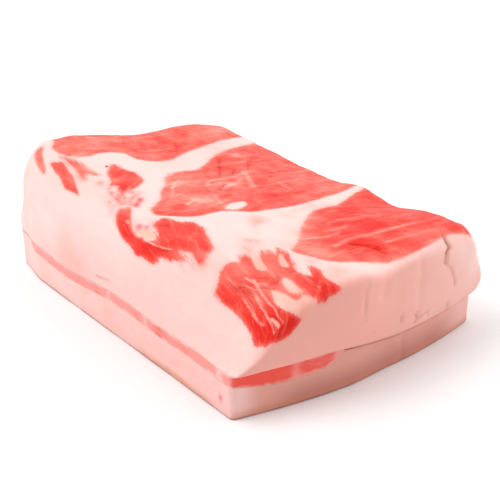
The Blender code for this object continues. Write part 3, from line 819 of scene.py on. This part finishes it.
class Paint:
    """The nodes of a material, or of a world, under construction."""

    def __init__(self, owner):
        self.owner = owner
        owner.use_nodes = True
        self.tree = owner.node_tree
        self.tree.nodes.clear()

    def node(self, kind, settings=None, inputs=None, output=0):
        """Add a node: its settings first, then the values or wires of its sockets."""
        made = self.tree.nodes.new(kind)
        for key, value in (settings or {}).items():
            if key == "stops":
                self.set_stops(made.color_ramp, value)
            else:
                setattr(made, key, value)
        for key, value in (inputs or {}).items():
            if isinstance(value, Wire):
                self.tree.links.new(value.socket, made.inputs[key])
            else:
                made.inputs[key].default_value = value
        return Wire(self, made.outputs[output]) if made.outputs else None

    def set_stops(self, ramp, stops):
        """Fill a colour ramp with (place, colour) stops."""
        while len(ramp.elements) < len(stops):
            ramp.elements.new(0.5)
        for element, (place, colour) in zip(ramp.elements, stops):
            element.position = place
            element.color = (*colour, 1.0)

    def math(self, operation, *values):
        """One sum of wires and numbers."""
        settings = {"operation": operation}
        return self.node("ShaderNodeMath", settings, dict(enumerate(values)))

    def step(self, value, low, high, start=0.0, end=1.0):
        """Ease from start at low to end at high."""
        settings = {"interpolation_type": "SMOOTHSTEP"}
        return self.node("ShaderNodeMapRange", settings, {
            "Value": value, "From Min": low, "From Max": high, "To Min": start, "To Max": end})

    def blend(self, first, second, share):
        """Mix two colours: all first at a share of 0 or less, all second at 1 or more."""
        settings = {"data_type": "RGBA", "blend_type": "MIX", "clamp_factor": True}
        first = first if isinstance(first, Wire) else (*first, 1.0)
        second = second if isinstance(second, Wire) else (*second, 1.0)
        return self.node("ShaderNodeMix", settings, {0: share, 6: first, 7: second}, 2)

    def coats(self, colour, *coats):
        """Lay coats over a colour, one after another. Each is (its colour, its share)."""
        for coat, share in coats:
            colour = self.blend(colour, coat, share)
        return colour

    def field(self, name, output="Fac"):
        """A stored field: Fac for a number, Vector for a vector."""
        return self.node("ShaderNodeAttribute", {"attribute_name": name}, None, output)

    def stretch(self, vector, scale):
        """Multiply a vector by another, part by part."""
        return self.node("ShaderNodeVectorMath", {"operation": "MULTIPLY"}, {0: vector, 1: scale})

    def noise(self, vector, scale, detail=3.0, roughness=0.6):
        """Noise around 0.5."""
        return self.node("ShaderNodeTexNoise", None, {
            "Vector": vector, "Scale": scale, "Detail": detail, "Roughness": roughness})

    def finish(self, colour, roughness, bump):
        """Join colour, roughness and bump to the Principled shader of moist meat."""
        normal = self.node("ShaderNodeBump", None, {
            "Height": bump, "Strength": 0.6, "Distance": 0.001})
        shader = self.node("ShaderNodeBsdfPrincipled", None, {
            "Base Color": colour, "Roughness": roughness, "Normal": normal, **MOIST})
        self.node("ShaderNodeOutputMaterial", None, {"Surface": shader})
        return self.owner


MOIST = {
    "Specular IOR Level": 0.14,
    "Subsurface Weight": 0.1,
    "Subsurface Radius": (1.0, 0.32, 0.22),
    "Subsurface Scale": 0.002,
}

# %% [markdown]
# ## Fat and lean in one material
#
# The pads and the fat are one grown surface, so they share a material. The distance field
# decides which is which. Noise moves the border, stretched along the grain, so that fibres
# of lean run out into the fat. Lean goes from coral to deep red, then is lightened along
# thin skins of fat and darkened in splits, and fine streaks follow the grain.

# %% Colours
CREAM = (0.94, 0.71, 0.675)
# The pink of stained fat; on the end face it is painted shade.
PINK_AND_SHADED_FAT = (0.93, 0.44, 0.37)
STAIN = (0.93, 0.24, 0.20)
BLOOD = (0.74, 0.07, 0.13)
LEAN_STOPS = (
    (0.0, (0.95, 0.25, 0.19)),
    (0.3, (0.95, 0.15, 0.11)),
    (0.6, (0.94, 0.055, 0.036)),
    (1.0, (0.84, 0.016, 0.009)),
)
THIN_FAT = (0.95, 0.42, 0.33)
VEIN = (0.95, 0.50, 0.40)
SPLIT = (0.42, 0.02, 0.012)
PEACH = (0.95, 0.50, 0.35)
CRACK_SHADE = (0.38, 0.09, 0.065)
SPECK_COLOUR = (0.03, 0.05, 0.03)


# %% The meat material
def meat_material():
    paint = Paint(bpy.data.materials.new("meat"))
    skin = paint.field("skin", "Vector")
    grain = paint.field("grain", "Vector")
    fibres = paint.noise(paint.stretch(grain, (0.10, 0.70, 1.0)), 1.0, 4.0)
    fine_fibres = paint.noise(paint.stretch(grain, (0.22, 2.1, 1.0)), 1.0)
    bands = paint.noise(paint.stretch(grain, (0.045, 0.26, 1.0)), 1.0)
    patches = paint.noise(skin, 0.13)
    small = paint.noise(skin, 0.9)
    mottle = paint.noise(paint.field("pore_place", "Vector"), 0.7)

    # Lean or fat: the distance, moved by noise, cut within the edge's width
    ragged = paint.field("feather")
    moved = paint.field("lean_distance") + (fibres - 0.5) * (ragged * 4.0 + 2.2)
    moved = moved + (bands - 0.5) * ragged * 9.0
    moved = moved + (small - 0.5) * (ragged * 2.0 + 1.4)
    lean = 1.0 - paint.step(moved / paint.field("edge_width"), -1.0, 1.0)

    # Lean, from coral to deep red, under thin fat, splits and veins
    depth = paint.field("deep") + (patches - 0.5) * 1.1 + (fibres - 0.5) * 0.3 + 0.04
    red = paint.node("ShaderNodeValToRGB", {"stops": LEAN_STOPS}, {"Fac": depth})
    streaks = paint.step(bands, 0.50, 0.72) * 0.42 + paint.step(fine_fibres, 0.52, 0.75) * 0.08
    pale = paint.field("pale")
    thin = pale * 0.8 + streaks * (pale + 0.7) + paint.step(moved, -2.6, 0.2) * 0.25
    split = (paint.field("dark") + paint.field("wrinkle") * 0.55) * paint.step(small, 0.30, 0.62)
    to_vein = paint.field("vein_distance") + (small - 0.5) * 1.2 + (fibres - 0.5)
    vein = (1.0 - paint.step(to_vein, -0.7, 0.7)) * 0.9
    red = paint.coats(red, (THIN_FAT, thin), (SPLIT, split), (VEIN, vein))

    # Fat, from cream to pink, with its stains; on the end face the pink is painted shade
    mottled = paint.step(small * 0.5 + mottle * 0.5, 0.36, 0.6) * 0.7 + 0.3
    halo = (1.0 - paint.step(moved, 0.0, 2.6)) * 0.2
    fat = paint.coats(
        CREAM, (PINK_AND_SHADED_FAT, paint.field("pinkness") + (patches - 0.5) * 0.3),
        (STAIN, paint.field("tint") * mottled), (STAIN, halo),
        (PEACH, paint.field("peach") * 0.85), (BLOOD, paint.field("blood")),
        # the dark coat on the cracks is painted shade in the creases of the fat
        (CRACK_SHADE, paint.field("grey") * paint.step(small, 0.25, 0.5)))

    speck = 1.0 - paint.step(paint.field("speck_distance"), 0.4, 0.95)
    colour = paint.coats(fat, (red, lean), (SPECK_COLOUR, speck))
    roughness = 0.55 - lean * 0.08 + (small - 0.5) * 0.12
    bump = (fibres * 0.25 + bands * 0.3 + fine_fibres * 0.06) * lean + small * 0.1
    return paint.finish(colour, roughness, bump)


upper.data.materials.append(meat_material())
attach(upper, "root")
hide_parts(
    "fat_upper", "lean_back", "lean_middle", "lean_right", "lean_front", "lean_hook",
    "lean_island", "lean_sliver")
print("upper layer painted")

# %% [markdown]
# ## The plate of fat below
#
# The lower layer is an even plate that was next to the skin. It is a little pinker, and its
# lowest edge keeps a warm tan line where the rind was cut away. Its end face is painted
# darker and pinker, most of all low down, and a thin dark line runs along its foot: both
# are painted shade. It is bent from its own fine block, and its relief is only a slight
# waviness.

# %% Make the lower layer
LOWER_CELL = 1.15
lower_draft, lower_quads = block_skin(
    np.linspace(-HALF_LENGTH, HALF_LENGTH, int(LENGTH / LOWER_CELL) + 1),
    np.linspace(-HALF_WIDTH, HALF_WIDTH, int(WIDTH / LOWER_CELL) + 1),
    np.linspace(0, LOWER_DRAFT_HEIGHT, 25),
)
lower_form = bend_lower(lower_draft)
place_x, place_y, place_z = lower_form.T
lower_seam = (lower_draft[lower_quads, 2] == LOWER_DRAFT_HEIGHT).all(axis=1)
lower_normals = normals_of(lower_form, lower_quads[~lower_seam])
wall = smooth(1 - np.abs(lower_normals[:, 2]))
lower_relief = wall * (0.3 + 0.3 * rough(lower_form * (1, 1, 0.5), 14, 71) / 1.5)
DENT_Y = 15.7                           # a slight upright dent in the end face
dent = np.exp(-((place_y - DENT_Y) / 1.4) ** 2) * (place_x > 60)
lower_relief += 0.45 * wall * dent
flush = smooth((-lower_draft[:, 1] - 60) / 6) * smooth((lower_draft[:, 2] - 13) / 4)
lower_relief = lower_relief + (NEAR_RELIEF - lower_relief) * flush
lower_points = lower_form - lower_normals * lower_relief[:, None]
lower = mesh_from("fat_plate", lower_points, lower_quads, lower_seam)
to_end = facing_end(lower_normals)
to_far_end = smooth((place_y - 36) / 26)
browned = smooth((place_x - 22) / 12) * smooth((86 - place_x) / 8)
MARK_X, MARK_Z = 89.3, 7.1              # a small mark of blood on the near wall
to_mark = np.hypot(place_x - MARK_X, (place_z - MARK_Z) * 0.7) + np.maximum(place_y, 0)
keep_fields(
    lower,
    # Painted shade: end_face and shade make the end face darker and pinker, darker still near its
    # bottom; both fade out at the front corner and towards the far side, where more light falls.
    end_face=to_end * smooth((place_y + 68.5) / 10) * (1 - 0.6 * to_far_end),
    shade=to_end * smooth((place_y + 62) / 24) * (1 - 0.9 * to_far_end),
    paler=smooth((10 - place_x) / 60) * (1 - to_end),
    browned=np.maximum(browned * (1 - to_end), 0.75 * to_end),
    height=place_z, mark=np.exp(-(to_mark / 1.1) ** 2))
print("lower layer", len(lower_quads) * 2, "triangles")


# %% The lower fat's material
PLATE_FAT = (0.94, 0.57, 0.53)
PLATE_PALER = (0.94, 0.63, 0.59)
PLATE_END_SHADE = (0.80, 0.385, 0.315)
PLATE_PATCH = (0.93, 0.46, 0.38)
PLATE_LOW_SHADE = (0.50, 0.165, 0.135)
RIND = (0.70, 0.27, 0.16)
FOOT_SHADE = (0.34, 0.09, 0.08)


def plate_material():
    paint = Paint(bpy.data.materials.new("plate_fat"))
    place = paint.node("ShaderNodeTexCoord", None, None, "Object")
    mm = paint.stretch(place, (1000.0, 1000.0, 1000.0))
    patches = paint.noise(paint.stretch(mm, (1.0, 1.0, 1.6)), 0.09)
    small = paint.noise(mm, 0.8)
    height = paint.field("height")
    end = paint.field("end_face")
    low_down = 1.0 - paint.step(height, 1.0, 15.0)
    rind = 1.0 - paint.step(height + (patches - 0.5) * 5.0, 0.8, 4.6)
    rind = rind * (paint.field("browned") * 0.8 + 0.2)
    # Painted shade: a patchy dark line in the lowest millimetre, where the plate meets the table.
    line = (1.0 - paint.step(height, 0.4, 1.3)) * paint.step(patches, 0.3, 0.6)
    # Painted shade: the end face's darker colours, darkest low down.
    fat = paint.coats(
        PLATE_FAT, (PLATE_PALER, paint.field("paler")), (PLATE_END_SHADE, end),
        (PLATE_PATCH, (patches - 0.42) * 1.6 * (1.0 - end)),
        (PLATE_LOW_SHADE, paint.field("shade") * (0.05 + low_down * 0.66)),
        (RIND, rind * 0.7), (FOOT_SHADE, line * 0.6), (BLOOD, paint.field("mark") * 0.8))
    return paint.finish(fat, 0.5 + (small - 0.5) * 0.1, small * 0.12)


lower.data.materials.append(plate_material())
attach(lower, "root")
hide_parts("fat_lower")
print("lower layer painted")

# %% [markdown]
# ## The thin wedge of lean
#
# A sheet of muscle lies between the layers. On the long side only its edge shows, as a pink
# streak that comes and goes, and at the front corner it is thick and red. It is a wedge a
# hair thicker than its space, so that it meets both layers without a dark line of air.

# %% Make the wedge
streak_draft, streak_quads = block_skin(
    np.linspace(STREAK_START, HALF_LENGTH, 181),
    np.linspace(-HALF_WIDTH, STREAK_REACH - HALF_WIDTH, 48),
    np.linspace(0, 1, 8),
)
streak_form = bend_streak(streak_draft)
streak_rise = streak_draft[streak_quads, 2]
streak_seam = (streak_rise == 0).all(axis=1) | (streak_rise == 1).all(axis=1)
streak_normals = normals_of(streak_form, streak_quads[~streak_seam])
streak_points = streak_form - streak_normals * (NEAR_RELIEF + 0.04)
wedge = mesh_from("thin_lean", streak_points, streak_quads, streak_seam)
run = streak_draft[:, 0] + (streak_draft[:, 1] + HALF_WIDTH)
# Where the streak is redder or breaks off: (place along it, reach, change of strength).
STREAK_CHANGES = (
    (-62, 12, -0.1), (-26, 9, 0.12), (2.5, 2.2, -0.24), (-8, 5, 0.2), (27, 5, 0.2),
    (33.5, 2.6, -0.36), (45, 8, 0.28), (62, 6, 0.16), (74, 5, 0.05), (87, 2.4, -0.38),
    (106, 8, 0.12), (120.5, 2.4, -0.26), (130, 6, -0.1),
)
strength = 0.46 + 0.5 * smooth((run - 92) / 5) - 0.9 * smooth((run - 135) / 8)
for place, reach, change in STREAK_CHANGES:
    strength += change * np.exp(-((run - place) / reach) ** 2)
strength *= smooth((streak_draft[:, 0] - STREAK_START) / 8)
keep_fields(
    wedge,
    run=np.column_stack([run, streak_draft[:, 2] * 4, np.zeros(len(run))]),
    rise=streak_draft[:, 2], end_face=facing_end(streak_normals), strength=strength)
print("wedge", len(streak_quads) * 2, "triangles")


# %% The wedge's material
STREAK_PALE = (0.94, 0.33, 0.30)
STREAK_RED = (0.92, 0.10, 0.07)
STREAK_FAT = (0.94, 0.575, 0.53)
STREAK_FAT_END_SHADE = (0.87, 0.41, 0.34)


def wedge_material():
    paint = Paint(bpy.data.materials.new("thin_lean"))
    run = paint.field("run", "Vector")
    streaky = paint.noise(paint.stretch(run, (0.16, 0.8, 1.0)), 1.0, 4.0)
    ragged = paint.noise(paint.stretch(run, (0.13, 0.12, 1.0)), 1.0, 2.0, 0.5)
    wavy = paint.field("rise") + (ragged - 0.5) * 0.7 + (streaky - 0.5) * 0.2
    middle = paint.step(wavy, -0.06, 0.24) * (1.0 - paint.step(wavy, 0.80, 1.1))
    amount = paint.field("strength") + (streaky - 0.5) * 0.5
    lean = paint.blend(STREAK_PALE, STREAK_RED, paint.step(amount, 0.5, 1.0))
    # Painted shade: where the wedge faces the end, its fat is darker and pinker, like the layers around
    # it.
    fat = paint.blend(STREAK_FAT, STREAK_FAT_END_SHADE, paint.field("end_face"))
    colour = paint.blend(fat, lean, middle * paint.step(amount, 0.0, 0.45))
    return paint.finish(colour, 0.45 + (streaky - 0.5) * 0.1, streaky * 0.3)


wedge.data.materials.append(wedge_material())
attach(wedge, "root")
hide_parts("lean_streak")
print("wedge painted")

# %% [markdown]
# ## Floor, light and camera
#
# Meat is lit softly and brightly, on a pale table that throws light back up. A broad lamp
# stands above the near side, so the top and the long side are bright and the end face is
# quieter. A smaller one stands low at the far side and grazes the far half of the end. The
# sky is a plain gradient that is dimmer beyond the end face, which does what a dark card
# does in a studio.

# %% Floor
floor_mesh = bpy.data.meshes.new("table")
FAR = 20.0                              # in metres, so the table's edge is never in sight
floor_mesh.from_pydata(
    [(-FAR, -FAR, 0), (FAR, -FAR, 0), (FAR, FAR, 0), (-FAR, FAR, 0)], [], [(0, 1, 2, 3)])
floor = add_object("table", floor_mesh)
table_top = Paint(bpy.data.materials.new("table_top"))
table_shader = table_top.node("ShaderNodeBsdfPrincipled", None, {
    "Base Color": (0.93, 0.93, 0.93, 1.0), "Roughness": 0.9, "Specular IOR Level": 0.1})
table_top.node("ShaderNodeOutputMaterial", None, {"Surface": table_shader})
floor.data.materials.append(table_top.owner)

# %% Sky and lamp
SKY, CARD = 1.28, 0.70                  # the sky's strength, and what its dim side lacks
CARD_DIRECTION = Vector((0.93, -0.35, 0.1)).normalized()
sky = Paint(bpy.data.worlds.new("studio"))
bpy.context.scene.world = sky.owner
where = sky.node("ShaderNodeTexCoord", None, None, "Generated")
toward = sky.node("ShaderNodeVectorMath", {"operation": "DOT_PRODUCT"}, {
    0: where, 1: CARD_DIRECTION}, "Value")
dim = sky.step(toward, 0.1, 0.9, SKY, SKY - CARD)
light = sky.node("ShaderNodeBackground", None, {"Strength": dim})
sky.node("ShaderNodeOutputWorld", None, {"Surface": light})


def lamp(name, place, size, power):
    """A square area lamp that points at the origin, in the middle of the slab's base."""
    data = bpy.data.lights.new(name, "AREA")
    data.size = size
    data.energy = power
    item = add_object(name, data)
    item.location = place
    item.rotation_euler = (-Vector(place)).to_track_quat("-Z", "Y").to_euler()


lamp("high_lamp", (-0.45, -0.6, 1.2), 0.8, 7.0)
lamp("far_lamp", (0.34, 1.17, 0.4), 0.6, 4.4)
print("sky", SKY, "with a dim side, and two lamps")

# %% Camera
AIM = np.array([-1.0, 12.4, 18.2])      # the point looked at, in the form's millimetres
AZIMUTH, ELEVATION, DISTANCE = math.radians(52.58), math.radians(23.24), 505.0
back = np.array([
    math.sin(AZIMUTH) * math.cos(ELEVATION),
    -math.cos(AZIMUTH) * math.cos(ELEVATION),
    math.sin(ELEVATION),
])
camera_data = bpy.data.cameras.new("camera")
camera_data.lens = 72.0
camera_data.sensor_width = 36.0
camera = add_object("camera", camera_data)
camera.location = Vector((AIM + SHIFT + back * DISTANCE) * MM)
camera.rotation_euler = Vector(-back).to_track_quat("-Z", "Y").to_euler()
bpy.context.scene.camera = camera
bpy.context.scene.view_settings.view_transform = "Standard"
bpy.context.scene.view_settings.look = "None"
print("camera at", [round(v, 3) for v in camera.location])
